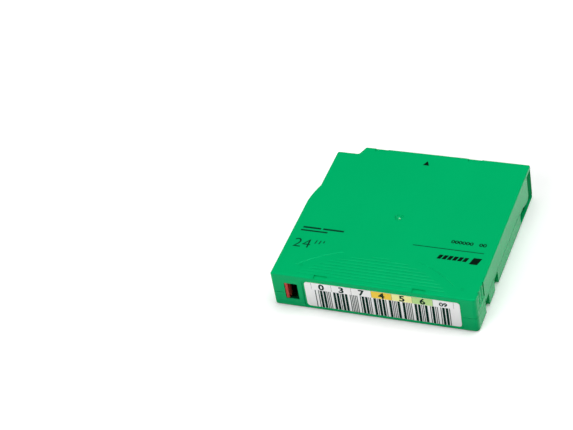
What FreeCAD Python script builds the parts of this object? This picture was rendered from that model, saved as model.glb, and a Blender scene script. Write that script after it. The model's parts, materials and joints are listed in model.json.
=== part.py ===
import FreeCAD, Part
import math
import os

os.makedirs("parts", exist_ok=True)
V = FreeCAD.Vector

# Data tape cartridge, half-inch single-reel format.  Millimetres, +Z up.
# The sketch frame has its corner at the front left bottom; every piece is
# moved at the end so that the origin is at the centre of the base.
# Front (y = 0) is the label end, the far end (y = DEPTH) enters the drive.

# ---- driving dimensions -------------------------------------------------
WIDTH = 105.4            # across the cartridge, X
DEPTH = 102.0            # label end to insertion end, Y
HEIGHT = 21.5            # Z
SEAM_Z = 9.3             # parting line of the two shells
WALL = 1.8               # side walls
FLOOR = 2.0              # bottom shell floor
ROOF = 1.9               # top shell roof
RIM_R_TOP = 0.7          # rounding of the upper rim
RIM_R_BOTTOM = 1.5       # rounding of the lower rim
CORNER_R_LEFT = 0.6      # upright corners of the label end
CORNER_R_RIGHT = 2.2
REEL_X, REEL_Y = 51.3, 51.3
BULGE_R = 51.45          # left wall follows the reel here
STEP_X, STEP_Y = 2.8, 96.2   # rear left corner is set in
CHUCK_R = 18.6           # opening for the drive chuck

FLANGE_R = 48.5
FLANGE_T = 1.0
HUB_R = 22.0
HUB_BORE_R = 20.0
TAPE_R = 46.8
TAPE_W = 12.65
Z_FLANGE = 3.2           # underside of the lower flange
Z_TAPE = 4.35
Z_UPPER = 17.3           # underside of the upper flange
Z_WEB0, Z_WEB1 = 3.4, 5.2
DRIVE_TEETH = 60
DRIVE_TIP_Z = 2.35
BRAKE_TEETH = 60
BRAKE_TOOTH_H = 0.8
BRAKE_GAP = 0.12
LIFT = 1.6               # brake travel
LEG_R = 15.8             # brake release legs, from the reel axis
LEG_SIZE = 1.7

DOOR_ANGLE = 7.0         # the door track leans inward, degrees
DOOR_T = 1.3
DOOR_X = 105.1           # outer face of the door at the insertion end
DOOR_Z0, DOOR_Z1 = 2.15, 18.45
DOOR_REAR_Y = 79.0
DOOR_TRAVEL = 9.5
LIP_Z = 18.6             # underside of the thick roof lip over the door
SKIN_Y = 94.4            # side wall ends here, the door shows beyond
CHANNEL_Z = 1.4          # floor of the channel outside the door

PIN_X, PIN_Y = 94.8, 95.0
PIN_R = 1.15
PIN_HEAD_R = 2.9
PIN_Z0, PIN_L = 2.35, 16.1

WINDOW = (6.3, 13.35, 5.35, 15.7)      # write-protect window x0 x1 z0 z1
SLIDER_TRAVEL = 4.9
LABEL = (17.2, 96.95, 2.3, 18.1)       # label x0 x1 z0 z1
LABEL_SEAT = (16.0, 98.2, 1.75, 18.75)
LABEL_DEPTH = 0.4
LABEL_T = 0.15

SCREWS = [(13.7, 9.5), (96.9, 7.2), (8.2, 87.5), (84.6, 96.2)]

TAN = math.tan(math.radians(DOOR_ANGLE))
COS = math.cos(math.radians(DOOR_ANGLE))
SIN = math.sin(math.radians(DOOR_ANGLE))


# ---- helpers ------------------------------------------------------------
def box(x0, x1, y0, y1, z0, z1):
    return Part.makeBox(x1 - x0, y1 - y0, z1 - z0, V(x0, y0, z0))


def cyl(x, y, z0, z1, r):
    return Part.makeCylinder(r, z1 - z0, V(x, y, z0), V(0, 0, 1))


def tube(x, y, z0, z1, r0, r1):
    return cyl(x, y, z0, z1, r1).cut(cyl(x, y, z0 - 1, z1 + 1, r0))


def cone(x, y, z0, z1, r0, r1):
    return Part.makeCone(r0, r1, z1 - z0, V(x, y, z0), V(0, 0, 1))


def poly_z(pts, z0, z1):
    w = Part.makePolygon([V(x, y, z0) for x, y in pts] + [V(pts[0][0], pts[0][1], z0)])
    return Part.Face(w).extrude(V(0, 0, z1 - z0))


def poly_x(pts, x0, x1):
    w = Part.makePolygon([V(x0, y, z) for y, z in pts] + [V(x0, pts[0][0], pts[0][1])])
    return Part.Face(w).extrude(V(x1 - x0, 0, 0))


def poly_y(pts, y0, y1):
    w = Part.makePolygon([V(x, y0, z) for x, z in pts] + [V(pts[0][0], y0, pts[0][1])])
    return Part.Face(w).extrude(V(0, y1 - y0, 0))


def sector(x, y, a0, a1, r, z0, z1):
    # pie slice between two angles, wide enough to cut a ring
    pts = [(x, y)]
    n = max(2, int(abs(a1 - a0) / 15) + 1)
    for i in range(n + 1):
        a = math.radians(a0 + (a1 - a0) * i / n)
        pts.append((x + 1.3 * r * math.cos(a), y + 1.3 * r * math.sin(a)))
    return poly_z(pts, z0, z1)


def rounded(pts, closed_arc=None):
    # pts: (x, y, corner radius); consecutive points joined by lines.
    # closed_arc: (centre, radius) joins the last point back to the first
    # point's predecessor with an arc instead of a line when given.
    edges = []
    n = len(pts)
    starts, ends = [None] * n, [None] * n
    arcs = [None] * n
    for i, (x, y, r) in enumerate(pts):
        p = V(x, y, 0)
        if r <= 0:
            starts[i] = ends[i] = p
            continue
        a = V(pts[i - 1][0], pts[i - 1][1], 0)
        b = V(pts[(i + 1) % n][0], pts[(i + 1) % n][1], 0)
        u = (a - p).normalize()
        v = (b - p).normalize()
        ang = math.acos(max(-1, min(1, u.dot(v))))
        t = r / math.tan(ang / 2)
        s, e = p + u * t, p + v * t
        bis = (u + v).normalize()
        c = p + bis * (r / math.sin(ang / 2))
        m = c - bis * r
        starts[i], ends[i] = s, e
        arcs[i] = Part.Arc(s, m, e).toShape()
    for i in range(n):
        if arcs[i] is not None:
            edges.append(arcs[i])
        j = (i + 1) % n
        if closed_arc is not None and j == 0:
            (cx, cy), rr = closed_arc
            s, e = ends[i], starts[j]
            a0 = math.atan2(s.y - cy, s.x - cx)
            a1 = math.atan2(e.y - cy, e.x - cx)
            if a1 < a0:
                a1 += 2 * math.pi
            am = (a0 + a1) / 2
            edges.append(Part.Arc(s, V(cx + rr * math.cos(am), cy + rr * math.sin(am), 0), e).toShape())
        else:
            edges.append(Part.makeLine(ends[i], starts[j]))
    return Part.Wire(edges)


def rounded_rect_y(x0, x1, z0, z1, r, y0, y1):
    # rounded rectangle in the X-Z plane, extruded along Y
    w = rounded([(x0, z0, r), (x1, z0, r), (x1, z1, r), (x0, z1, r)])
    f = Part.Face(w)
    f.rotate(V(0, 0, 0), V(1, 0, 0), 90)
    f.translate(V(0, y0, 0))
    return f.extrude(V(0, y1 - y0, 0))


def save(name, shape):
    shape = shape.copy()
    shape.translate(V(-WIDTH / 2, -DEPTH / 2, 0))
    try:
        shape = shape.removeSplitter()
    except Exception:
        pass
    sol = shape.Solids
    ok = all(s.isValid() for s in sol)
    out = sol[0] if len(sol) == 1 else Part.makeCompound(sol)
    print(name, "solids", len(sol), "valid", ok, "cm3 %.3f" % (out.Volume / 1000))
    out.exportStep("parts/%s.step" % name)


# ---- outline ------------------------------------------------------------
arc_y0 = REEL_Y + math.sqrt(BULGE_R ** 2 - REEL_X ** 2)
arc_y1 = REEL_Y + math.sqrt(BULGE_R ** 2 - (REEL_X - STEP_X) ** 2)


def outline(corner_r):
    # counter-clockwise from the upper end of the bulge to its lower end
    pts = [
        (0.0, arc_y0, 0.0),
        (0.0, 0.0, 0.0), (WIDTH, 0.0, CORNER_R_RIGHT),
        (WIDTH, DEPTH, corner_r), (16.8, DEPTH, 1.0),
        (14.5, STEP_Y, 1.2), (STEP_X, STEP_Y, 1.2),
        (STEP_X, arc_y1, 0.0),
    ]
    return rounded(pts)


def outline_arc(corner_r):
    w = outline(corner_r)
    edges = []
    for e in w.Edges:
        a, b = e.Vertexes[0].Point, e.Vertexes[-1].Point
        ys = sorted([a.y, b.y])
        if abs(ys[0] - arc_y0) < 1e-6 and abs(ys[1] - arc_y1) < 1e-6:
            continue
        edges.append(e)
    am = (math.atan2(arc_y0 - REEL_Y, -REEL_X) + math.atan2(arc_y1 - REEL_Y, STEP_X - REEL_X)) / 2
    edges.append(Part.Arc(V(STEP_X, arc_y1, 0), V(REEL_X + BULGE_R * math.cos(am), REEL_Y + BULGE_R * math.sin(am), 0), V(0, arc_y0, 0)).toShape())
    return Part.Wire(Part.__sortEdges__(edges))


def block(wire, z0, z1):
    f = Part.Face(wire)
    f.translate(V(0, 0, z0))
    return f.extrude(V(0, 0, z1 - z0))


top_wire = outline_arc(0.75)
bottom_wire = outline_arc(1.5)


def inner_face(wire, d):
    return Part.Face(wire).makeOffset2D(-d, 0, False, False, False)


def inner_block(d, z0, z1):
    f = inner_face(bottom_wire, d)
    f.translate(V(0, 0, z0))
    s = f.extrude(V(0, 0, z1 - z0))
    return s


def fillet_rim(shape, z, r):
    edges = [e for e in shape.Edges if all(abs(v.Point.z - z) < 1e-6 for v in e.Vertexes)]
    shape = shape.makeFillet(r, edges)
    # upright edge at the left of the label end
    edges = [e for e in shape.Edges if len(e.Vertexes) == 2
             and all(abs(v.Point.x) < 1e-3 and abs(v.Point.y) < 1e-3 for v in e.Vertexes)]
    return shape.makeFillet(CORNER_R_LEFT, edges)


def door_x(y):
    # outer face of the door track at a given y
    return DOOR_X - TAN * (DEPTH - y)


# side wall lower edge over the door channel, in the Y-Z plane
skin_lower = [(77.0, SEAM_Z), (78.6, 7.9), (84.0, 7.8), (88.9, 5.7), (SKIN_Y - 2.7, 5.5)]
for i in range(1, 7):
    a = math.radians(-90 + 15 * i)
    skin_lower.append((SKIN_Y - 2.7 + 2.7 * math.cos(a), 8.2 + 2.7 * math.sin(a)))
skin_region = poly_x(skin_lower + [(SKIN_Y, 22.0), (77.0, 22.0)], 95.0, 110.0)

# ---- top shell ----------------------------------------------------------
top = fillet_rim(block(top_wire, 0, HEIGHT), HEIGHT, RIM_R_TOP)
cavity = inner_block(WALL, FLOOR, HEIGHT - ROOF)
upper = top.common(box(-1, 110, -1, 110, SEAM_Z, 30))
upper = upper.cut(cavity)
# clear the side wall where the door shows, and the insertion face beside it
upper = upper.cut(box(103.0, 110, 76.9, 110, 0, LIP_Z))
upper = upper.cut(box(99.7, 110, 99.9, 110, 0, LIP_Z))
# side wall over the door: leaning inner face
skin_plan = [(WIDTH, 76.8), (WIDTH, SKIN_Y), (door_x(SKIN_Y) + 0.15, SKIN_Y),
             (door_x(84.0) + 0.15, 84.0), (WIDTH - WALL, 83.4), (WIDTH - WALL, 76.8)]
skin = poly_z(skin_plan, 5.0, LIP_Z + 0.1).common(skin_region)
skin_low = poly_z([(WIDTH, 76.8), (WIDTH, 77.4), (WIDTH - WALL, 77.4), (WIDTH - WALL, 76.8)], SEAM_Z, LIP_Z + 0.1)
upper = upper.fuse([skin, skin_low])
# thick roof pad over the door track
pad = inner_block(0.3, LIP_Z, HEIGHT - ROOF + 0.1).common(box(98.4, 110, 60.0, 110, 0, 30))
# screw bosses, reel rim rib, centre post, spring seat, pin seat, slider rail
adds = [pad]
for x, y in SCREWS:
    adds.append(cyl(x, y, SEAM_Z + 0.05, HEIGHT - ROOF + 0.1, 2.6))
rib = tube(REEL_X, REEL_Y, 16.6, HEIGHT - ROOF + 0.1, 49.6, 50.6).cut(
    sector(REEL_X, REEL_Y, -9, 62, 52, 16, 21)).common(inner_block(WALL - 0.2, 10, 21))
adds.append(rib)
adds.append(box(REEL_X - 2.5, REEL_X + 2.5, REEL_Y - 2.5, REEL_Y + 2.5, 11.0, HEIGHT - ROOF + 0.1))
adds.append(tube(REEL_X, REEL_Y, 18.7, HEIGHT - ROOF + 0.1, 8.0, 8.8))
seat = tube(PIN_X, PIN_Y, 17.2, 18.7, 3.1, 4.0).common(sector(PIN_X, PIN_Y, 135, 300, 5, 17, 19))
adds.append(seat)
adds.append(cyl(PIN_X, PIN_Y, 18.6, HEIGHT - ROOF + 0.1, 4.0))
rail = box(WALL - 0.2, 16.4, WALL - 0.2, 4.4, WINDOW[3] - 0.05, HEIGHT - ROOF + 0.1).cut(
    box(WALL, 16.5, 2.25, 3.25, 15.0, 16.75))
adds.append(rail)
guide = [(door_x(66) - DOOR_T / COS - 0.15, 66.0), (door_x(90.6) - DOOR_T / COS - 0.15, 90.6),
         (door_x(90.6) - DOOR_T / COS - 0.95, 90.6), (door_x(66) - DOOR_T / COS - 0.95, 66.0)]
adds.append(poly_z(guide, 17.2, LIP_Z + 0.1))
upper = upper.fuse(adds)
for x, y in SCREWS:
    upper = upper.cut(cyl(x, y, SEAM_Z, 16.6, 1.3))
# the roof's edge is thinner where the door shows
upper = upper.cut(box(104.2, 110, SKIN_Y, 110, LIP_Z - 0.1, LIP_Z + 0.9))
# groove for the bottom shell's locating tongue
tongue_zone = inner_block(0.95, SEAM_Z - 0.1, SEAM_Z + 0.95).cut(inner_block(WALL + 0.05, SEAM_Z - 1, SEAM_Z + 2))
tongue_zone = tongue_zone.cut(box(-1, 18, -1, 6, 0, 20)).cut(box(90, 110, 75.5, 110, 0, 20))
tongue_zone = tongue_zone.cut(box(99, 110, 96, 110, 0, 20))
upper = upper.cut(tongue_zone)
# write-protect window and label seat
window = box(WINDOW[0], WINDOW[1], -1, WALL + 0.1, WINDOW[2], WINDOW[3])
label_seat = rounded_rect_y(LABEL_SEAT[0], LABEL_SEAT[1], LABEL_SEAT[2], LABEL_SEAT[3], 1.9, -1, LABEL_DEPTH)
upper = upper.cut(window).cut(label_seat)
# four shallow pockets in the roof edges
for x0, x1, y0, y1 in [(22.6, 29.4, -1, 2.6), (73.3, 80.0, -1, 2.6), (22.4, 29.3, 99.5, 104), (73.0, 80.3, 99.5, 104)]:
    upper = upper.cut(box(x0, x1, y0, y1, HEIGHT - 0.65, HEIGHT + 1))
# centre dimple with a small nub
upper = upper.cut(cone(51.1, 51.1, HEIGHT - 0.75, HEIGHT + 0.01, 1.9, 2.45))
upper = upper.fuse(Part.makeSphere(0.95, V(51.1, 51.1, HEIGHT - 1.1)))
# two faint gate marks
for x, y in [(13.7, 8.1), (96.9, 6.3)]:
    upper = upper.cut(tube(x, y, HEIGHT - 0.1, HEIGHT + 1, 0.55, 0.85))
# fine cross grooves in the roof, bounded by a dome
GROOVE_Y = [3.0, 5.15, 7.3, 9.4, 11.5, 13.6, 15.8, 18.0, 20.1]
grooves = []
for gy in GROOVE_Y:
    hw = math.sqrt(50.6 ** 2 - (gy + 30.3) ** 2)
    segs = [(REEL_X - hw, REEL_X + hw)]
    if gy < 4:
        # leave the edge pockets clear
        segs = [(REEL_X - hw, 22.0), (30.0, 72.7), (80.6, REEL_X + hw)]
    for a, b in segs:
        grooves.append(poly_x([(gy - 0.55, HEIGHT + 0.001), (gy, HEIGHT - 0.11), (gy + 0.55, HEIGHT + 0.001), (gy, HEIGHT + 0.6)], a, b))
upper = upper.cut(Part.makeCompound(grooves))
# shallow curved line round the grooves
arc_c = (51.3, -34.1)
for a0, a1 in [(math.degrees(math.atan2(8.1 + 34.1, 92 - 51.3)), math.degrees(math.atan2(21.3 + 34.1, 70.5 - 51.3)))]:
    prof = Part.Face(Part.makePolygon([V(58.2, 0, HEIGHT + 0.001), V(58.6, 0, HEIGHT - 0.17), V(59.0, 0, HEIGHT + 0.001), V(58.6, 0, HEIGHT + 0.5), V(58.2, 0, HEIGHT + 0.001)]))
    for s0, s1 in [(a0, a1), (180 - a1, 180 - a0)]:
        p = prof.copy()
        p.rotate(V(0, 0, 0), V(0, 0, 1), s0)
        r = p.revolve(V(0, 0, 0), V(0, 0, 1), s1 - s0)
        r.translate(V(arc_c[0], arc_c[1], 0))
        upper = upper.cut(r)
# ribbed grip set into the right side near the label end: three broad upright
# ribs with narrow valleys, running out downward
GRIP_D = 0.75
grip = poly_y([(WIDTH - GRIP_D, 30), (WIDTH - GRIP_D, 13.5), (WIDTH, 12.3), (WIDTH + 2, 9.1), (WIDTH + 2, 30)], 2.3, 13.3)
for y in (4.13, 7.8, 11.47):
    grip = grip.cut(cyl(WIDTH - 0.1 - 2.62, y, 5, 35, 2.62))
upper = upper.cut(grip)
save("top_shell", upper)

# ---- bottom shell -------------------------------------------------------
low = fillet_rim(block(bottom_wire, 0, HEIGHT), 0.0, RIM_R_BOTTOM)
low = low.common(box(-1, 110, -1, 110, -1, SEAM_Z))
low = low.cut(inner_block(WALL, FLOOR, HEIGHT))
# door channel: the side wall stops and only a thin lip of floor is left
low = low.cut(box(103.0, 110, 78.4, 110, FLOOR, 30)).cut(box(99.7, 110, 99.9, 110, FLOOR, 30))
low = low.cut(poly_z([(103.4, 79.5), (110, 79.5), (110, DEPTH - 0.8), (104.9, DEPTH - 0.8)], CHANNEL_Z, FLOOR + 1))
low = low.cut(poly_x([(76.8, SEAM_Z + 0.1), (76.8, SEAM_Z - 0.05), (78.5, 7.8), (79.5, 7.8), (79.5, SEAM_Z + 0.1)], 103.0, 110))
adds = []
for x, y in SCREWS:
    adds.append(cyl(x, y, FLOOR - 0.1, SEAM_Z, 3.7))
adds.append(tube(REEL_X, REEL_Y, FLOOR - 0.1, 3.05, 19.4, 21.0))
adds.append(tube(REEL_X, REEL_Y, FLOOR - 0.1, 5.0, 49.6, 50.6).cut(
    sector(REEL_X, REEL_Y, -9, 62, 52, 0, 9)).common(inner_block(WALL - 0.2, 1, 9)))
# thicker wall behind the side notches
adds.append(box(101.6, 103.8, 11.8, 36.6, FLOOR - 0.1, SEAM_Z))
adds.append(box(1.6, 3.8, 11.8, 36.6, FLOOR - 0.1, SEAM_Z).cut(cyl(REEL_X, REEL_Y, 0, 20, 49.6)))
# spring stop for the door, with its centring stub
adds.append(box(99.2, 103.8, 61.4, 62.8, FLOOR - 0.1, SEAM_Z - 0.3))
adds.append(box(99.2, 103.5, 61.4, 62.8, SEAM_Z - 0.4, 12.9))
SPRING_X1, SPRING_Y1 = 101.6, DOOR_REAR_Y       # spring end at the door
SPRING_Y0 = 62.8
SPRING_X0 = SPRING_X1 - TAN * (SPRING_Y1 - SPRING_Y0)
SPRING_Z = 10.5
adds.append(Part.makeCylinder(0.9, 2.4, V(SPRING_X0 - 0.2 * SIN, SPRING_Y0 - 0.2 * COS, SPRING_Z), V(SIN, COS, 0)))
adds.append(poly_z(guide, FLOOR - 0.1, 3.5))
adds.append(tube(PIN_X, PIN_Y, FLOOR - 0.1, 3.5, 3.1, 4.0).common(sector(PIN_X, PIN_Y, 135, 300, 5, 1, 4)))
adds.append(box(WALL - 0.2, 16.4, WALL - 0.2, 3.6, FLOOR - 0.1, 3.6).cut(
    box(WALL, 16.5, 2.3, 3.15, 2.6, 6.0)))
# wedge that carries the memory board at 45 degrees
adds.append(poly_x([(95.6, FLOOR - 0.1), (99.9, FLOOR - 0.1), (99.9, 6.15), (95.6, 2.15)], 21.0, 24.0))
# bosses round the locating hole and slot
adds.append(cyl(6.6, 20.5, FLOOR - 0.1, 5.2, 3.7))
adds.append(box(95.6, 101.4, 16.8, 24.2, FLOOR - 0.1, 5.2))
low = low.fuse(adds)
# locating tongue
tongue = inner_block(1.0, SEAM_Z - 0.1, SEAM_Z + 0.8).cut(inner_block(WALL, SEAM_Z - 1, SEAM_Z + 2))
tongue = tongue.cut(box(-1, 18.1, -1, 6, 0, 20)).cut(box(90, 110, 75.4, 110, 0, 20))
tongue = tongue.cut(box(98.9, 110, 95.9, 110, 0, 20))
low = low.fuse(tongue)
# through features
low = low.cut(cyl(REEL_X, REEL_Y, -1, FLOOR + 0.5, CHUCK_R))
low = low.cut(cone(REEL_X, REEL_Y, -0.01, 0.6, CHUCK_R + 0.6, CHUCK_R))
for x, y in SCREWS:
    low = low.cut(cyl(x, y, -1, SEAM_Z + 1, 1.45)).cut(cyl(x, y, -1, 2.2, 2.75))
low = low.cut(cyl(6.6, 20.5, -1, 4.2, 2.5))
slot = cyl(97.5, 20.5, -1, 4.2, 2.5).fuse([cyl(99.5, 20.5, -1, 4.2, 2.5), box(97.5, 99.5, 18.0, 23.0, -1, 4.2)])
low = low.cut(slot)
low = low.cut(window).cut(label_seat)
# side notches, deeper at the base
for y0, y1 in [(13.2, 19.4), (29.0, 35.2)]:
    n = poly_y([(WIDTH + 1, -1), (103.4, -1), (103.4, 2.5), (WIDTH, 8.5), (WIDTH + 1, 8.5)], y0, y1)
    low = low.cut(n)
    n = poly_y([(-1, -1), (2.0, -1), (2.0, 2.5), (0, 8.5), (-1, 8.5)], y0, y1)
    low = low.cut(n)
    for e, s in [(y0, -1), (y1, 1)]:
        R = 1.8
        ya, yb = sorted([e - 0.01 * s, e + s * R])
        for xa, xb in [(103.4, 106.0), (-0.6, 2.0)]:
            q = box(xa, xb, ya, yb, -0.5, R).cut(
                Part.makeCylinder(R, 10, V(xa - 2, e + s * R, R), V(1, 0, 0)))
            low = low.cut(q)
# fine shadow line at the parting plane
line = box(-5, 112, -5, 108, SEAM_Z - 0.3, SEAM_Z + 0.5).cut(inner_block(0.45, 0, 30))
line = line.cut(box(5.4, 98.3, -6, 3, 0, 20))
low = low.cut(line)
# shallow framed area on the underside round the chuck opening
low = low.cut(tube(REEL_X, REEL_Y, -1, 0.25, 24.0, 25.2))
save("bottom_shell", low)

# ---- screws -------------------------------------------------------------
scr = []
for x, y in SCREWS:
    s = cyl(x, y, 0.75, 2.2, 2.5).fuse(cyl(x, y, 2.1, 15.4, 1.25)).fuse(cone(x, y, 15.4, 16.3, 1.25, 0.4))
    s = s.cut(box(x - 1.5, x + 1.5, y - 0.3, y + 0.3, 0, 1.75)).cut(box(x - 0.3, x + 0.3, y - 1.5, y + 1.5, 0, 1.75))
    scr.append(s)
save("shell_screws", Part.makeCompound(scr))

# ---- label --------------------------------------------------------------
save("barcode_label", rounded_rect_y(LABEL[0], LABEL[1], LABEL[2], LABEL[3], 1.7, LABEL_DEPTH - LABEL_T, LABEL_DEPTH))

# ---- write-protect slider -----------------------------------------------
s = box(2.0, 8.4, 1.95, 3.9, 5.55, 15.5)
s = s.fuse(box(2.0, 8.4, 2.4, 3.05, 2.75, 16.6))
s = s.fuse(poly_z([(6.45, 0.4), (7.7, 0.4), (8.0, 0.7), (8.0, 2.1), (6.45, 2.1)], 5.55, 15.5))
s = s.cut(box(2.9, 7.5, 2.8, 4.0, 6.5, 14.5))
for z in (8.0, 10.5, 13.0):
    s = s.cut(Part.makeCylinder(0.22, 3, V(6.0, 0.35, z), V(1, 0, 0)))
save("write_protect_slider", s)


# ---- face teeth ---------------------------------------------------------
def tooth(a, r0, r1, half, z_base, z_tip):
    # triangular radial ridge centred on angle a (degrees)
    ws = []
    for r in (r0, r1):
        p = []
        for da, z in [(-half, z_base), (0, z_tip), (half, z_base)]:
            t = math.radians(a + da)
            rr = r
            p.append(V(REEL_X + rr * math.cos(t), REEL_Y + rr * math.sin(t), z))
        ws.append(Part.makePolygon(p + [p[0]]))
    return Part.makeLoft(ws, True, True)


# ---- reel ---------------------------------------------------------------
hub = cyl(REEL_X, REEL_Y, Z_WEB0, Z_WEB1, HUB_BORE_R + 0.1)
hub = hub.fuse(tube(REEL_X, REEL_Y, Z_FLANGE, Z_UPPER, HUB_BORE_R, HUB_R))
hub = hub.fuse(tube(REEL_X, REEL_Y, Z_UPPER - 0.1, Z_UPPER + FLANGE_T, HUB_BORE_R, 21.2))
hub = hub.fuse(tube(REEL_X, REEL_Y, Z_FLANGE, Z_FLANGE + FLANGE_T, HUB_R - 0.5, FLANGE_R))
step = 360.0 / DRIVE_TEETH
teeth = [tooth(i * step, 13.6, 17.6, step * 0.46, Z_WEB0 + 0.02, DRIVE_TIP_Z) for i in range(DRIVE_TEETH)]
hub = hub.fuse(teeth)
hub = hub.fuse(tube(REEL_X, REEL_Y, DRIVE_TIP_Z, Z_WEB0 + 0.05, 17.5, 18.1))
bstep = 360.0 / BRAKE_TEETH
teeth = [tooth(i * bstep, 18.1, 19.7, bstep * 0.5, Z_WEB1 - 0.02, Z_WEB1 + BRAKE_TOOTH_H) for i in range(BRAKE_TEETH)]
hub = hub.fuse(teeth)
legs = []
for k in range(3):
    a = math.radians(90 + 120 * k)
    legs.append((REEL_X + LEG_R * math.cos(a), REEL_Y + LEG_R * math.sin(a)))
for x, y in legs:
    hub = hub.cut(cyl(x, y, 0, Z_WEB1 + 0.01, LEG_SIZE + 0.25))
# centre recess under the web and stiffening ring on top of it
hub = hub.cut(cone(REEL_X, REEL_Y, Z_WEB0 - 0.01, Z_WEB0 + 0.8, 3.0, 1.6))
save("reel_hub", hub)
save("upper_flange", tube(REEL_X, REEL_Y, Z_UPPER, Z_UPPER + FLANGE_T, 21.25, FLANGE_R))
save("chuck_plate", tube(REEL_X, REEL_Y, Z_WEB0 - 0.65, Z_WEB0, 4.5, 11.5))
save("tape_pack", tube(REEL_X, REEL_Y, Z_TAPE, Z_TAPE + TAPE_W, HUB_R, TAPE_R))

# ---- tape leader, pin and its clamp -------------------------------------
dx, dy = PIN_X - REEL_X, PIN_Y - REEL_Y
dist = math.hypot(dx, dy)
R1, R2 = TAPE_R + 0.05, 1.55
ang = math.atan2(dy, dx) - math.acos((R1 - R2) / dist)
nx, ny = math.cos(ang), math.sin(ang)
t1 = (REEL_X + R1 * nx, REEL_Y + R1 * ny)
t2 = (PIN_X + R2 * nx, PIN_Y + R2 * ny)
save("tape_leader", poly_z([t1, (t1[0] + 0.1 * nx, t1[1] + 0.1 * ny), (t2[0] + 0.1 * nx, t2[1] + 0.1 * ny), t2], Z_TAPE, Z_TAPE + TAPE_W))
pin = cyl(PIN_X, PIN_Y, PIN_Z0, PIN_Z0 + PIN_L, PIN_R)
pin = pin.fuse([cone(PIN_X, PIN_Y, PIN_Z0, PIN_Z0 + 0.25, PIN_HEAD_R - 0.25, PIN_HEAD_R), cyl(PIN_X, PIN_Y, PIN_Z0 + 0.25, PIN_Z0 + 0.95, PIN_HEAD_R)])
z1 = PIN_Z0 + PIN_L
pin = pin.fuse([cyl(PIN_X, PIN_Y, z1 - 0.95, z1 - 0.25, PIN_HEAD_R), cone(PIN_X, PIN_Y, z1 - 0.25, z1, PIN_HEAD_R, PIN_HEAD_R - 0.25)])
save("leader_pin", pin)
clamp = tube(PIN_X, PIN_Y, 4.45, 16.9, PIN_R + 0.02, 1.52).cut(sector(PIN_X, PIN_Y, 185, 265, 3, 4, 18))
save("leader_clamp", clamp)

# ---- leaf spring that holds the pin -------------------------------------
def strip(pts, t, z0, z1):
    # constant-thickness bent strip in plan
    L, Rr = [], []
    n = len(pts)
    for i, (x, y) in enumerate(pts):
        if i == 0:
            d = (pts[1][0] - x, pts[1][1] - y)
        elif i == n - 1:
            d = (x - pts[i - 1][0], y - pts[i - 1][1])
        else:
            a = (x - pts[i - 1][0], y - pts[i - 1][1])
            b = (pts[i + 1][0] - x, pts[i + 1][1] - y)
            la, lb = math.hypot(*a), math.hypot(*b)
            d = (a[0] / la + b[0] / lb, a[1] / la + b[1] / lb)
        l = math.hypot(*d)
        n_ = (-d[1] / l, d[0] / l)
        L.append((x + n_[0] * t / 2, y + n_[1] * t / 2))
        Rr.append((x - n_[0] * t / 2, y - n_[1] * t / 2))
    return poly_z(L + Rr[::-1], z0, z1)


arm = [(88.9, 99.95), (91.6, 99.95), (92.6, 99.5), (93.6, 98.7), (94.8, 98.3), (96.2, 98.0), (97.3, 97.2), (97.9, 96.6), (98.5, 96.75)]
sp = strip(arm, 0.3, 2.5, 3.2).fuse([strip(arm, 0.3, 17.6, 18.3), box(88.9, 91.6, 99.8, 100.1, 2.5, 18.3)])
save("pin_spring", sp)

# ---- brake --------------------------------------------------------------
zt = Z_WEB1 + BRAKE_GAP            # tooth tips of the brake
zr = zt + BRAKE_TOOTH_H            # tooth roots
brake = cyl(REEL_X, REEL_Y, 7.0, 8.6, 19.6)
brake = brake.fuse(tube(REEL_X, REEL_Y, zr, 7.1, 18.2, 19.6))
teeth = [tooth((i + 0.5) * bstep, 18.2, 19.6, bstep * 0.5, zr + 0.02, zt) for i in range(BRAKE_TEETH)]
brake = brake.fuse(teeth)
brake = brake.fuse(cyl(REEL_X, REEL_Y, 8.5, 15.6, 5.4))
brake = brake.cut(box(REEL_X - 2.6, REEL_X + 2.6, REEL_Y - 2.6, REEL_Y + 2.6, 9.0, 20))
for k in range(6):
    a = math.radians(60 * k + 30)
    c = (REEL_X + 13.2 * math.cos(a), REEL_Y + 13.2 * math.sin(a))
    brake = brake.cut(cyl(c[0], c[1], 6.9, 8.7, 2.2))
save("brake_plate", brake)
save("thrust_button", cyl(REEL_X, REEL_Y, 6.62, 7.0, 2.4).fuse(cone(REEL_X, REEL_Y, 6.62, 6.9, 1.6, 2.4)))

rel = cyl(REEL_X, REEL_Y, 5.4, 6.5, 5.6)
for x, y in legs:
    d = (x - REEL_X, y - REEL_Y)
    l = math.hypot(*d)
    u = (d[0] / l, d[1] / l)
    p = (-u[1], u[0])
    a = [(REEL_X + p[0] * 2.4, REEL_Y + p[1] * 2.4), (REEL_X - p[0] * 2.4, REEL_Y - p[1] * 2.4),
         (x - p[0] * 1.3, y - p[1] * 1.3), (x + p[0] * 1.3, y + p[1] * 1.3)]
    rel = rel.fuse([poly_z(a, 5.4, 6.5), cyl(x, y, 2.5, 6.5, LEG_SIZE)])
save("brake_release", rel)


def coil(x, y, z, direction, length, r, wire, turns):
    # helical wire from the start point along a direction
    pitch = (length - 2 * wire) / turns
    h = Part.makeHelix(pitch, pitch * turns, r)
    prof = Part.Wire([Part.Circle(V(r, 0, 0), V(0, 1, 0), wire).toShape()])
    s = Part.Wire(h.Edges).makePipeShell([prof], True, True)
    s.translate(V(0, 0, wire))
    rot = FreeCAD.Rotation(V(0, 0, 1), direction)
    s.Placement = FreeCAD.Placement(V(x, y, z), rot).multiply(s.Placement)
    return s


save("brake_spring", coil(REEL_X, REEL_Y, 8.62, V(0, 0, 1), HEIGHT - ROOF - 8.64, 7.0, 0.4, 6))

# ---- access door --------------------------------------------------------
def track_quad(y0, y1, off0, off1):
    return [(door_x(y0) - off0, y0), (door_x(y1) - off0, y1), (door_x(y1) - off1, y1), (door_x(y0) - off1, y0)]


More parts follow.
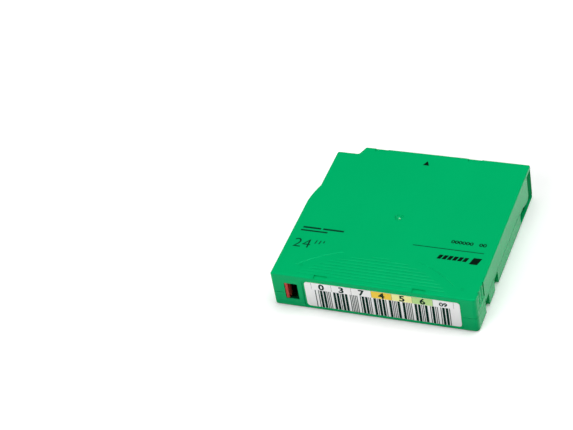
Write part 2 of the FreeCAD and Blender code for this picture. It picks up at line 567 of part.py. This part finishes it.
door = poly_z(track_quad(DOOR_REAR_Y, DEPTH, 0, DOOR_T / COS), DOOR_Z0, DOOR_Z1)
door = door.fuse(box(99.9, DOOR_X - 0.35, 100.8, DEPTH, DOOR_Z0, DOOR_Z1))
# tab that the drive pushes, in the channel below the side wall
door = door.fuse(poly_z([(door_x(89.2) - 0.4, 89.2), (104.3, 89.2), (104.3, 94.4), (door_x(94.4) - 0.4, 94.4)], 2.3, 5.3))
# spring lug and its stub
door = door.fuse(box(101.0, 103.3, DOOR_REAR_Y, 81.6, 8.6, 12.4))
door = door.fuse(Part.makeCylinder(0.9, 2.4, V(SPRING_X1 + 0.2 * SIN, SPRING_Y1 + 0.2 * COS, SPRING_Z), V(-SIN, -COS, 0)))
save("access_door", door)
save("door_spring", coil(SPRING_X0 + 0.22 * SIN, SPRING_Y0 + 0.22 * COS, SPRING_Z, V(SIN, COS, 0),
                         (SPRING_Y1 - SPRING_Y0) / COS - 0.44, 1.4, 0.2, 10))

# ---- memory board -------------------------------------------------------
b = box(18.6, 25.4, 0, 6.4, 0, 0.6)
b.rotate(V(0, 0, 0), V(1, 0, 0), 45)
b.translate(V(0, 95.35, 2.2))
save("memory_board", b)
c = box(20.8, 23.2, 2.0, 4.4, 0.6, 1.1)
c.rotate(V(0, 0, 0), V(1, 0, 0), 45)
c.translate(V(0, 95.35, 2.2))
save("memory_chip", c)
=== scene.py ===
import json
import math

import bpy
from mathutils import Matrix, Vector


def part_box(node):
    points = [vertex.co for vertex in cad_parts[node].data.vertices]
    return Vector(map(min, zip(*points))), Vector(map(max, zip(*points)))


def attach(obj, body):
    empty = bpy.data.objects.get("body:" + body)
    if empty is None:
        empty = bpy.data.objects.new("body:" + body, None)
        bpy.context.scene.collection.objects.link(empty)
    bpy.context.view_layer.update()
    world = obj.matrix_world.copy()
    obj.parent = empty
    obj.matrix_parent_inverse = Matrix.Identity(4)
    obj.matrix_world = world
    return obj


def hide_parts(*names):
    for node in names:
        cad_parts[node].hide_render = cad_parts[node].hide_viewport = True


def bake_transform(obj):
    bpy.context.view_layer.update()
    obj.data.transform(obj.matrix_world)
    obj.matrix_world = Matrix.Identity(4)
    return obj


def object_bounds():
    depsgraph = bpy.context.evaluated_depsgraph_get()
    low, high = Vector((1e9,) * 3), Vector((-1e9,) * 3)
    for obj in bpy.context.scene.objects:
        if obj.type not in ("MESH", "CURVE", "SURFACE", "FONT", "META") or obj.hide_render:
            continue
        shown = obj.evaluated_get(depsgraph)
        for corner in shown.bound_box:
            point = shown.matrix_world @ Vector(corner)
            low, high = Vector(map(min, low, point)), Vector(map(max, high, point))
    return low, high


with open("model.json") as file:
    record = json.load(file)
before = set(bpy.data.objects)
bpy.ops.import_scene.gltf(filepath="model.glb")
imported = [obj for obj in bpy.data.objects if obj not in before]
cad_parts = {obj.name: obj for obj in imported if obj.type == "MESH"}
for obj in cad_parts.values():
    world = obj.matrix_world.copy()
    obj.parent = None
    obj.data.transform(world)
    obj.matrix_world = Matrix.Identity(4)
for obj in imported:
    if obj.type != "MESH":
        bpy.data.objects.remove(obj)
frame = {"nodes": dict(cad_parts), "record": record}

cad_lo, cad_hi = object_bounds()
nodes = frame["nodes"]
scene = bpy.context.scene
MM = 0.001


# ---- material kit ------------------------------------------------------------
class Mat:
    """A node material around one Principled shader, driven by object coordinates."""

    def __init__(self, name):
        self.mat = bpy.data.materials.new(name)
        self.mat.use_nodes = True
        self.nt = self.mat.node_tree
        self.nt.nodes.clear()
        self.out = self.nt.nodes.new("ShaderNodeOutputMaterial")
        self.bsdf = self.nt.nodes.new("ShaderNodeBsdfPrincipled")
        self.nt.links.new(self.bsdf.outputs[0], self.out.inputs[0])
        self.co = self.nt.nodes.new("ShaderNodeTexCoord").outputs["Object"]

    def set(self, **values):
        for key, value in values.items():
            self.bsdf.inputs[key.replace("_", " ")].default_value = value
        return self

    def node(self, kind, **props):
        n = self.nt.nodes.new(kind)
        for key, value in props.items():
            setattr(n, key, value)
        return n

    def link(self, a, b):
        self.nt.links.new(a, b)

    def stretched(self, sx, sy, sz, rx=0.0, ry=0.0, rz=0.0, at=(0, 0, 0)):
        m = self.node("ShaderNodeMapping")
        m.inputs["Scale"].default_value = (sx, sy, sz)
        m.inputs["Rotation"].default_value = (rx, ry, rz)
        m.inputs["Location"].default_value = at
        self.link(self.co, m.inputs["Vector"])
        return m.outputs[0]

    def noise(self, scale, detail=3.0, rough=0.55, co=None):
        n = self.node("ShaderNodeTexNoise")
        n.inputs["Scale"].default_value = scale
        n.inputs["Detail"].default_value = detail
        n.inputs["Roughness"].default_value = rough
        self.link(co or self.co, n.inputs["Vector"])
        return n.outputs["Fac"]

    def wave(self, scale, kind="BANDS", direction="X", distortion=0.0, co=None):
        w = self.node("ShaderNodeTexWave", wave_type=kind)
        if kind == "BANDS":
            w.bands_direction = direction
        else:
            w.rings_direction = direction
        w.inputs["Scale"].default_value = scale
        w.inputs["Distortion"].default_value = distortion
        self.link(co or self.co, w.inputs["Vector"])
        return w.outputs["Fac"]

    def ramp(self, fac, stops):
        r = self.node("ShaderNodeValToRGB")
        el = r.color_ramp.elements
        while len(el) < len(stops):
            el.new(0.5)
        for e, (pos, col) in zip(el, stops):
            e.position = pos
            e.color = (*col, 1.0)
        self.link(fac, r.inputs[0])
        return r.outputs[0]

    def range(self, fac, lo, hi, flo=0.0, fhi=1.0):
        m = self.node("ShaderNodeMapRange")
        m.inputs["From Min"].default_value = flo
        m.inputs["From Max"].default_value = fhi
        m.inputs["To Min"].default_value = lo
        m.inputs["To Max"].default_value = hi
        self.link(fac, m.inputs["Value"])
        return m.outputs[0]

    def math(self, op, a, b):
        m = self.node("ShaderNodeMath", operation=op)
        for i, v in enumerate((a, b)):
            if isinstance(v, (int, float)):
                m.inputs[i].default_value = v
            else:
                self.link(v, m.inputs[i])
        return m.outputs[0]

    def colour(self, fac, stops):
        self.link(self.ramp(fac, stops), self.bsdf.inputs["Base Color"])
        return self

    def rough(self, fac, lo, hi, flo=0.3, fhi=0.7):
        self.link(self.range(fac, lo, hi, flo, fhi), self.bsdf.inputs["Roughness"])
        return self

    def bump(self, *layers):
        """Each layer is (height 0-1, depth in metres)."""
        last = None
        for height, depth in layers:
            b = self.node("ShaderNodeBump")
            b.inputs["Strength"].default_value = 1.0
            b.inputs["Distance"].default_value = depth
            self.link(height, b.inputs["Height"])
            if last is not None:
                self.link(last, b.inputs["Normal"])
            last = b.outputs[0]
        self.link(last, self.bsdf.inputs["Normal"])
        return self


def around(c, k):
    return tuple(min(1.0, v * k) for v in c)


def moulded(name, base, rough=(0.36, 0.46), tint=None, spread=0.03, grain=0.000006, spec=0.5, shade=None):
    """Injection-moulded plastic: fine spark-eroded grain, faint flow shade, uneven gloss; with a mask, painted shade
    darkens the base colour to a tenth.
    """
    m = Mat(name)
    flow = m.noise(28.0, 2.0, co=m.stretched(1.0, 0.45, 1.0, rz=0.35))
    m.colour(flow, [(0.3, around(base, 1 - spread)), (0.7, around(base, 1 + spread))])
    m.rough(m.noise(160.0, 4.0), *rough)
    m.bump((m.noise(9000.0, 2.0), grain), (m.noise(1700.0, 3.0), grain * 1.4))
    m.set(Specular_IOR_Level=spec)
    if tint:
        m.set(Specular_Tint=(*tint, 1.0))
    # painted shade: where the mask is 1, the base colour falls to a tenth of the shell green
    if shade:
        mix = m.node("ShaderNodeMix", data_type="RGBA")
        mix.inputs[7].default_value = (*around(base, 0.1), 1.0)
        m.link(shade(m), mix.inputs[0])
        m.link(m.bsdf.inputs["Base Color"].links[0].from_socket, mix.inputs[6])
        m.link(mix.outputs[2], m.bsdf.inputs["Base Color"])
    return m.mat


def window_painted_shade_mask(m):
    """Painted shade mask: 1 on the shell's own walls just behind the write-protect window, 0 on every outer face."""
    axes = m.node("ShaderNodeSeparateXYZ")
    m.link(m.co, axes.inputs[0])
    x, y, z = axes.outputs
    wide = m.range(m.math("ABSOLUTE", m.math("ADD", x, 0.0429), 0.0), 1.0, 0.0, 0.0048, 0.0052)
    tall = m.range(m.math("ABSOLUTE", m.math("SUBTRACT", z, 0.0105), 0.0), 1.0, 0.0, 0.0065, 0.0070)
    deep = m.math("MULTIPLY", m.range(y, 0.0, 1.0, -0.0507, -0.0503), m.range(y, 1.0, 0.0, -0.040, -0.038))
    return m.math("MULTIPLY", m.math("MULTIPLY", wide, tall), deep)


def metal(name, base, rough, axis="Z", brushed=0.00002, scale=(1, 1, 40), aniso=0.0):
    m = Mat(name)
    streak = m.noise(260.0, 5.0, 0.7, co=m.stretched(*scale))
    m.colour(streak, [(0.3, around(base, 0.9)), (0.7, around(base, 1.07))])
    m.rough(streak, *rough)
    m.bump((streak, brushed))
    m.set(Metallic=1.0)
    if aniso:
        m.set(Anisotropic=aniso)
    return m.mat


GREEN = (0.0, 0.405, 0.128)
mats = {}
# the shell gets painted shade on its own walls just behind the write-protect window
mats["shell_plastic"] = moulded("shell_green", GREEN, (0.17, 0.25), (0.02, 0.75, 0.4), 0.022, 0.000004, 0.2, window_painted_shade_mask)
# painted shade: the door's base colour is about half the shell green, for the shade the door sits in
mats["door_plastic"] = moulded("door_green_painted_shade", (0.0, 0.20, 0.055), (0.5, 0.62), (0.05, 0.6, 0.35), 0.03, 0.000007, 0.004)
mats["slider_plastic"] = moulded("slider_red", (0.50, 0.035, 0.022), (0.38, 0.5), None, 0.04, 0.000004)
mats["reel_plastic"] = moulded("reel_white", (0.72, 0.73, 0.71), (0.34, 0.46), None, 0.02, 0.000004)
mats["brake_plastic"] = moulded("brake_grey", (0.05, 0.06, 0.08), (0.38, 0.5), None, 0.05, 0.000004)
mats["chip_resin"] = moulded("chip_black", (0.012, 0.012, 0.014), (0.55, 0.7), None, 0.08, 0.00001)
mats["steel"] = metal("plate_steel", (0.60, 0.60, 0.61), (0.22, 0.36), scale=(1, 30, 1))
mats["spring_steel"] = metal("spring_wire", (0.50, 0.50, 0.51), (0.2, 0.3), scale=(6, 6, 6))
mats["screw_steel"] = metal("screw_zinc", (0.52, 0.52, 0.54), (0.3, 0.42), scale=(8, 8, 8))


def tape():
    """Wound film: hundreds of turns show as fine rings on the pack's faces, with a few proud ones."""
    m = Mat("tape_film")
    at = Vector((-0.0014, 0.0003, 0.0))
    co = m.stretched(1, 1, 0.0, at=tuple(-at))
    turns = m.wave(900.0, "RINGS", "Z", 0.4, co=co)
    broad = m.noise(420.0, 2.0, co=co)
    m.colour(turns, [(0.0, (0.010, 0.008, 0.007)), (1.0, (0.030, 0.024, 0.021))])
    m.rough(broad, 0.16, 0.34)
    m.bump((turns, 0.00002), (broad, 0.00002))
    m.set(Specular_IOR_Level=0.6)
    return m.mat


def paper():
    """Coated label stock: faint fibres, soft sheen."""
    m = Mat("label_stock")
    fibre = m.noise(1500.0, 6.0, 0.7, co=m.stretched(1, 1, 2.6))
    m.colour(fibre, [(0.3, (0.925, 0.93, 0.925)), (0.7, (0.955, 0.957, 0.95))])
    m.rough(m.noise(240.0, 4.0), 0.42, 0.58)
    m.bump((fibre, 0.000006), (m.noise(90.0, 2.0), 0.00003))
    m.set(Specular_IOR_Level=0.35)
    return m.mat


def board():
    """Glass laminate with tracks under the solder mask and a visible weave."""
    m = Mat("board_laminate")
    tracks = m.wave(260.0, "BANDS", "X", 3.0)
    weave = m.math("MULTIPLY", m.wave(900.0, "BANDS", "X"), m.wave(900.0, "BANDS", "Y"))
    m.colour(tracks, [(0.55, (0.008, 0.070, 0.030)), (0.68, (0.020, 0.150, 0.065))])
    m.rough(weave, 0.3, 0.42, 0.0, 1.0)
    m.bump((tracks, 0.00002), (weave, 0.00001))
    return m.mat


def ink(name, base, rough=(0.42, 0.6), depth=0.000004, spec=0.15):
    """Printed ink: slightly uneven film over the paper or plastic."""
    m = Mat(name)
    blot = m.noise(2200.0, 5.0, 0.65)
    m.colour(blot, [(0.3, around(base, 0.93)), (0.7, around(base, 1.05))])
    m.rough(m.noise(300.0, 3.0), *rough)
    m.bump((blot, depth))
    m.set(Specular_IOR_Level=spec)
    return m.mat


mats["tape_film"] = tape()
mats["label_paper"] = paper()
mats["board"] = board()

slot_of = {s["node"]: s["material_slot"] for s in frame["record"]["subparts"]}
for name, ob in nodes.items():
    ob.data.materials.clear()
    ob.data.materials.append(mats[slot_of[name]])


# ---- spring coils copied from the CAD parts --------------------------------------
def spring(node, axis):
    """A copy of the CAD coil, baked in place, with the CAD original hidden."""
    ob = bpy.data.objects.new(node + "_wire", nodes[node].data.copy())
    ob.data.name = ob.name
    scene.collection.objects.link(ob)
    lo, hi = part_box(node)
    start, end = (list(lo), list(hi)) if axis == "Y" else (list(hi), list(lo))
    k = "XYZ".index(axis)
    for i in range(3):
        if i != k:
            start[i] = end[i] = (lo[i] + hi[i]) / 2
    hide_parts(node)
    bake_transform(ob)
    return ob


spring("brake_spring", "Z")
spring("door_spring", "Y")


# ---- thin printed pieces -------------------------------------------------------
def piece(name, verts, faces, mat, body, slot=None, smooth=False):
    me = bpy.data.meshes.new(name)
    me.from_pydata(verts, [], faces)
    me.validate()
    me.update()
    me.materials.append(mat)
    if smooth:
        me.shade_smooth()
    ob = bpy.data.objects.new(name, me)
    scene.collection.objects.link(ob)
    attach(ob, body)
    return ob


def slabs(outlines, place, thick):
    """Closed thin slabs from outlines in the print plane; place maps (u, v, w) to metres."""
    verts, faces = [], []
    for pts in outlines:
        n, b = len(pts), len(verts)
        verts += [place(u, v, 0.0) for u, v in pts] + [place(u, v, thick) for u, v in pts]
        faces.append(tuple(b + i for i in reversed(range(n))))
        faces.append(tuple(b + n + i for i in range(n)))
        faces += [(b + i, b + (i + 1) % n, b + n + (i + 1) % n, b + n + i) for i in range(n)]
    return verts, faces


def rect(u0, v0, u1, v1):
    return [(u0, v0), (u1, v0), (u1, v1), (u0, v1)]


def rounded(u0, v0, u1, v1, r, n=5):
    out = []
    for cu, cv, a0 in ((u1 - r, v0 + r, -90), (u1 - r, v1 - r, 0), (u0 + r, v1 - r, 90), (u0 + r, v0 + r, 180)):
        for i in range(n + 1):
            a = math.radians(a0 + 90 * i / n)
            out.append((cu + r * math.cos(a), cv + r * math.sin(a)))
    return out


def figures(name, items, place, thick, mat, body, bold=0.0, slot=None):
    """Plain figures: items are (text, u centre, v base, cap height, width stretch). Lies in the print plane."""
    verts, faces = [], []
    for text, u, v, h, sx in items:
        cu = bpy.data.curves.new(name + "_tmp", "FONT")
        cu.body = text
        cu.size = 1.0
        cu.offset = bold
        cu.resolution_u = 4
        cu.align_x = "CENTER"
        tmp = bpy.data.objects.new(name + "_tmp", cu)
        scene.collection.objects.link(tmp)
        bpy.context.view_layer.update()
        me = bpy.data.meshes.new_from_object(tmp.evaluated_get(bpy.context.evaluated_depsgraph_get()))
        bpy.data.objects.remove(tmp)
        bpy.data.curves.remove(cu)
        ys = [p.co.y for p in me.vertices]
        low, cap = min(ys), max(ys) - min(ys)
        k = h / cap
        base = len(verts)
        flat = [(u + p.co.x * k * sx, v + (p.co.y - low) * k) for p in me.vertices]
        n = len(flat)
        verts += [place(a, b, 0.0) for a, b in flat] + [place(a, b, thick) for a, b in flat]
        edge_use = {}
        for poly in me.polygons:
            vs = list(poly.vertices)
            faces.append(tuple(base + n + i for i in vs))
            faces.append(tuple(base + i for i in reversed(vs)))
            for i in range(len(vs)):
                e = (vs[i], vs[(i + 1) % len(vs)])
                edge_use[e] = True
        for a, b in list(edge_use):
            if (b, a) not in edge_use:
                faces.append((base + a, base + b, base + n + b, base + n + a))
        bpy.data.meshes.remove(me)
    return piece(name, verts, faces, mat, body, slot)


# ---- barcode label -------------------------------------------------------------
lab_lo, lab_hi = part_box("barcode_label")


def on_label(u, v, w):
    """u mm from the label's left edge, v mm above its lower edge, w mm out of its face."""
    return (lab_lo[0] + u * MM, lab_lo[1] - w * MM, lab_lo[2] + v * MM)


INK_T = 0.012
cells = [3.7, 14.15, 24.5, 34.9, 45.4, 55.8, 66.2, 76.65]
CELL_V = (11.45, 15.75)
print_black = ink("label_ink_black", (0.001, 0.028, 0.019), spec=0.04)
cell_cols = {
    3: ("label_field_amber", (0.97, 0.67, 0.075)),
    4: ("label_field_yellow", (0.97, 0.96, 0.42)),
    5: ("label_field_green", (0.53, 0.79, 0.31)),
}
for k, (nm, col) in cell_cols.items():
    piece(nm, *slabs([rect(cells[k] + 0.04, CELL_V[0], cells[k + 1] - 0.04, CELL_V[1])], on_label, INK_T), ink(nm + "_ink", col), "housing", "label_paper")

lines = [rect(c - 0.07, CELL_V[0], c + 0.07, CELL_V[1]) for c in cells]
piece("label_cell_lines", *slabs(lines, on_label, INK_T * 1.6), ink("label_ink_grey", (0.16, 0.17, 0.165)), "housing", "label_paper")

code = {
    "0": "nnnwwnwnn", "3": "wnwwnnnnn", "4": "nnnwwnnnw", "5": "wnnwwnnnn",
    "6": "nnwwwnnnn", "7": "nnnwnnwnw", "9": "nnwwnnwnn", "*": "nwnnwnwnn",
}
bars, u = [], 5.2
UNIT = 0.4365
for ch in "*03745609*":
    for i, w in enumerate(code[ch]):
        width = UNIT * (3 if w == "w" else 1)
        if i % 2 == 0:
            bars.append(rect(u, 0.05, u + width, 11.3))
        u += width
    u += UNIT
piece("label_bars", *slabs(bars, on_label, INK_T * 1.3), print_black, "housing", "label_paper")

mid = [(a + b) / 2 for a, b in zip(cells, cells[1:])]
figures(
    "label_figures",
    [(t, mid[i], 11.6, 3.85, 1.18) for i, t in enumerate("037456")] + [("09", mid[6], 12.0, 2.6, 1.25)],
    on_label, INK_T * 2.0, print_black, "housing", bold=0.036, slot="label_paper",
)


# ---- moulding nub in the roof's centre dimple ------------------------------------
def dome(name, centre, r, z_from, mat, body, slot, rings=8, sides=28):
    """Upper part of a ball, above z_from, closed below."""
    verts, faces = [], []
    a0 = math.asin((z_from - centre[2]) / r)
    for i in range(rings):
        a = a0 + (math.pi / 2 - a0) * i / rings
        for j in range(sides):
            b = 2 * math.pi * j / sides
            verts.append((centre[0] + r * math.cos(a) * math.cos(b), centre[1] + r * math.cos(a) * math.sin(b), centre[2] + r * math.sin(a)))
    verts.append((centre[0], centre[1], centre[2] + r))
    tip = len(verts) - 1
    for i in range(rings - 1):
        for j in range(sides):
            k = (j + 1) % sides
            faces.append((i * sides + j, i * sides + k, (i + 1) * sides + k, (i + 1) * sides + j))
    faces += [((rings - 1) * sides + j, (rings - 1) * sides + (j + 1) % sides, tip) for j in range(sides)]
    faces.append(tuple(reversed(range(sides))))
    return piece(name, verts, faces, mat, body, slot, smooth=True)


nub = Mat("nub_green_painted_highlight")
# painted highlight: the nub's base colour is a lighter green than the shell's; the glossy coat is real gloss
nub.colour(nub.noise(900.0, 3.0), [(0.3, (0.01, 0.46, 0.17)), (0.7, (0.015, 0.52, 0.20))])
nub.rough(nub.noise(1600.0, 3.0), 0.05, 0.1)
nub.bump((nub.noise(2600.0, 2.0), 0.000004))
nub.set(Specular_IOR_Level=0.6, Coat_Weight=1.0, Coat_Roughness=0.05)
hi = cad_hi[2]
dome("centre_nub", (cad_lo[0] + 0.0511, cad_lo[1] + 0.0511, hi - 0.0011), 0.00098, hi - 0.0007, nub.mat, "housing", "shell_plastic")


# ---- print on the roof ------------------------------------------------------------
top_z = cad_hi[2]
left_x, front_y = cad_lo[0], cad_lo[1]


def on_roof(u, v, w):
    """u mm from the left side, v mm from the label end, w mm above the roof; print sits within the moulded face."""
    return (left_x + u * MM, front_y + v * MM, top_z + (w - 0.004) * MM)


roof_ink = ink("roof_ink_dark", (0.0008, 0.045, 0.020), (0.5, 0.66), spec=0.04)
black_ink = ink("roof_ink_black", (0.0015, 0.010, 0.005), (0.5, 0.66), spec=0.03)
ROOF_T = 0.008


def slanted(u0, v0, u1, v1, lean):
    """Bar leaning to the right by lean mm from its lower to its upper edge."""
    return [(u0, v0), (u1, v0), (u1 + lean, v1), (u0 + lean, v1)]


piece("insertion_arrow", *slabs([[(50.8, 92.6), (54.2, 92.6), (52.5, 96.1)]], on_roof, ROOF_T), black_ink, "housing", "shell_plastic")

# left block: broken ruled lines, a large plain figure and short ticks beside it
rules = [slanted(5.0, 35.0, 14.6, 36.2, 0.0), slanted(15.7, 35.0, 26.8, 36.2, 0.0), rect(4.5, 32.8, 18.8, 33.8)]
piece("roof_rules_left", *slabs(rules, on_roof, ROOF_T), roof_ink, "housing", "shell_plastic")
figures("roof_figure_large", [("24", 8.6, 20.9, 6.2, 1.05)], on_roof, ROOF_T, roof_ink, "housing", bold=-0.006, slot="shell_plastic")
ticks = [slanted(14.8, 24.4, 15.4, 27.0, 0.5), slanted(16.9, 24.4, 17.5, 27.0, 0.5), slanted(19.0, 25.4, 19.6, 27.0, 0.3)]
piece("roof_ticks", *slabs(ticks, on_roof, ROOF_T), roof_ink, "housing", "shell_plastic")

# right block: a row of plain figures, a fine rule and a group of leaning bars
figures("roof_figures_small", [("000000", 87.8, 37.2, 2.4, 1.2), ("00", 98.3, 37.2, 2.4, 1.2)], on_roof, ROOF_T, black_ink, "housing", bold=0.03, slot="shell_plastic")
piece("roof_rule_right", *slabs([rect(64.0, 32.45, 100.4, 32.95)], on_roof, ROOF_T), roof_ink, "housing", "shell_plastic")
bars = [slanted(78.3 + 2.6 * i, 25.3, 80.3 + 2.6 * i, 28.3, 1.0) for i in range(6)] + [slanted(95.0, 24.2, 99.2, 28.9, 1.4)]
piece("roof_bars", *slabs(bars, on_roof, ROOF_T), black_ink, "housing", "shell_plastic")


# ---- camera, floor and light --------------------------------------------------------
cam_data = bpy.data.cameras.new("camera")
cam_data.lens = 117.904
cam_data.sensor_width = 36.0
cam_data.sensor_fit = "HORIZONTAL"
cam_data.clip_start, cam_data.clip_end = 0.01, 50.0
cam = bpy.data.objects.new("camera", cam_data)
scene.collection.objects.link(cam)
right = Vector((0.92772584, 0.34131831, -0.15108465))
up = Vector((-0.11681975, 0.64993537, 0.75095750))
back = Vector((0.35451080, -0.67903301, 0.64283455))
m = Matrix.Identity(4)
for i in range(3):
    m[i][0], m[i][1], m[i][2] = right[i], up[i], back[i]
m.translation = Vector((0.279869, -0.658452, 0.636806))
cam.matrix_world = m
scene.camera = cam

floor_me = bpy.data.meshes.new("floor")
floor_me.from_pydata([(-6, -6, 0), (6, -6, 0), (6, 6, 0), (-6, 6, 0)], [], [(0, 1, 2, 3)])
floor = bpy.data.objects.new("floor", floor_me)
scene.collection.objects.link(floor)
fm = Mat("floor_white")
pale = fm.ramp(fm.noise(3.0, 2.0), [(0.3, (0.955, 0.955, 0.955)), (0.7, (0.965, 0.965, 0.965))])
# painted shadow: close to the label end the floor's colour turns near black for diffuse rays only, so it gives back
# less light and this face darkens downward
axes = fm.node("ShaderNodeSeparateXYZ")
fm.link(fm.co, axes.inputs[0])
ahead = fm.range(axes.outputs[1], 0.0, 1.0, 2 * cad_lo[1], cad_lo[1])
across = fm.range(fm.math("ABSOLUTE", axes.outputs[0], 0.0), 1.0, 0.0, cad_hi[0], 1.5 * cad_hi[0])
behind = fm.math("LESS_THAN", axes.outputs[1], cad_lo[1] + 0.001)
painted_shadow_near_label = fm.math("MULTIPLY", fm.math("MULTIPLY", ahead, across), behind)
bounce = fm.node("ShaderNodeLightPath")
shade = fm.node("ShaderNodeMix", data_type="RGBA")
fm.link(fm.math("MULTIPLY", painted_shadow_near_label, bounce.outputs["Is Diffuse Ray"]), shade.inputs["Factor"])
fm.link(pale, shade.inputs[6])
shade.inputs[7].default_value = (0.03, 0.03, 0.03, 1.0)
fm.link(shade.outputs[2], fm.bsdf.inputs["Base Color"])
# the floor stays pale far out, where the lamps no longer reach it
flat = fm.node("ShaderNodeVectorMath", operation="LENGTH")
fm.link(fm.co, flat.inputs[0])
lift = fm.range(flat.outputs["Value"], 0.16, 0.9, 0.15, 1.6)
fm.link(fm.math("MULTIPLY", lift, bounce.outputs["Is Camera Ray"]), fm.bsdf.inputs["Emission Strength"])
fm.set(Emission_Color=(1.0, 1.0, 1.0, 1.0))
fm.rough(fm.noise(8.0, 2.0), 0.7, 0.8)
fm.set(Specular_IOR_Level=0.1)
floor_me.materials.append(fm.mat)
floor.location.z = -0.00002


def area(name, at, aim, size, power, size_y=None, colour=(1, 1, 1)):
    d = bpy.data.lights.new(name, "AREA")
    d.shape = "RECTANGLE" if size_y else "SQUARE"
    d.size = size
    if size_y:
        d.size_y = size_y
    d.energy = power
    d.color = colour
    o = bpy.data.objects.new(name, d)
    o.location = at
    o.rotation_mode = "QUATERNION"
    o.rotation_quaternion = (Vector(aim) - Vector(at)).to_track_quat("-Z", "Y")
    scene.collection.objects.link(o)
    return o


area("top_right", (0.35, 0.05, 1.45), (0, 0, 0), 0.9, 7.1)
area("top_back", (0.0, 0.45, 1.45), (0, 0, 0), 1.0, 8.7)
area("front_left", (-0.53, -0.97, 1.02), (0, 0, 0), 0.7, 3.9)
front = area("front", (-0.55, -1.22, 0.72), (0, 0, 0.01), 1.2, 10.6, 0.6)
front.visible_glossy = False  # no mirror of this panel in the roof in low views from behind
area("right", (1.30, 0.25, 0.70), (0, 0, 0.01), 1.4, 7.6, 0.6)
area("left", (-1.20, 0.10, 0.90), (0, 0, 0), 0.8, 2.0)

# a dim, even room; where the camera looks past the floor it sees the same pale backdrop
world = bpy.data.worlds.new("studio")
world.use_nodes = True
wt = world.node_tree
wt.nodes.clear()
room = wt.nodes.new("ShaderNodeBackground")
room.inputs[0].default_value = (1, 1, 1, 1)
room.inputs[1].default_value = 0.01
drop = wt.nodes.new("ShaderNodeBackground")
drop.inputs[0].default_value = (1, 1, 1, 1)
drop.inputs[1].default_value = 0.95
seen = wt.nodes.new("ShaderNodeLightPath")
mix = wt.nodes.new("ShaderNodeMixShader")
wout = wt.nodes.new("ShaderNodeOutputWorld")
wt.links.new(seen.outputs["Is Camera Ray"], mix.inputs[0])
wt.links.new(room.outputs[0], mix.inputs[1])
wt.links.new(drop.outputs[0], mix.inputs[2])
wt.links.new(mix.outputs[0], wout.inputs[0])
scene.world = world
scene.view_settings.view_transform = "Standard"
scene.view_settings.look = "None"
scene.view_settings.exposure = 0.0
scene.view_settings.gamma = 1.0
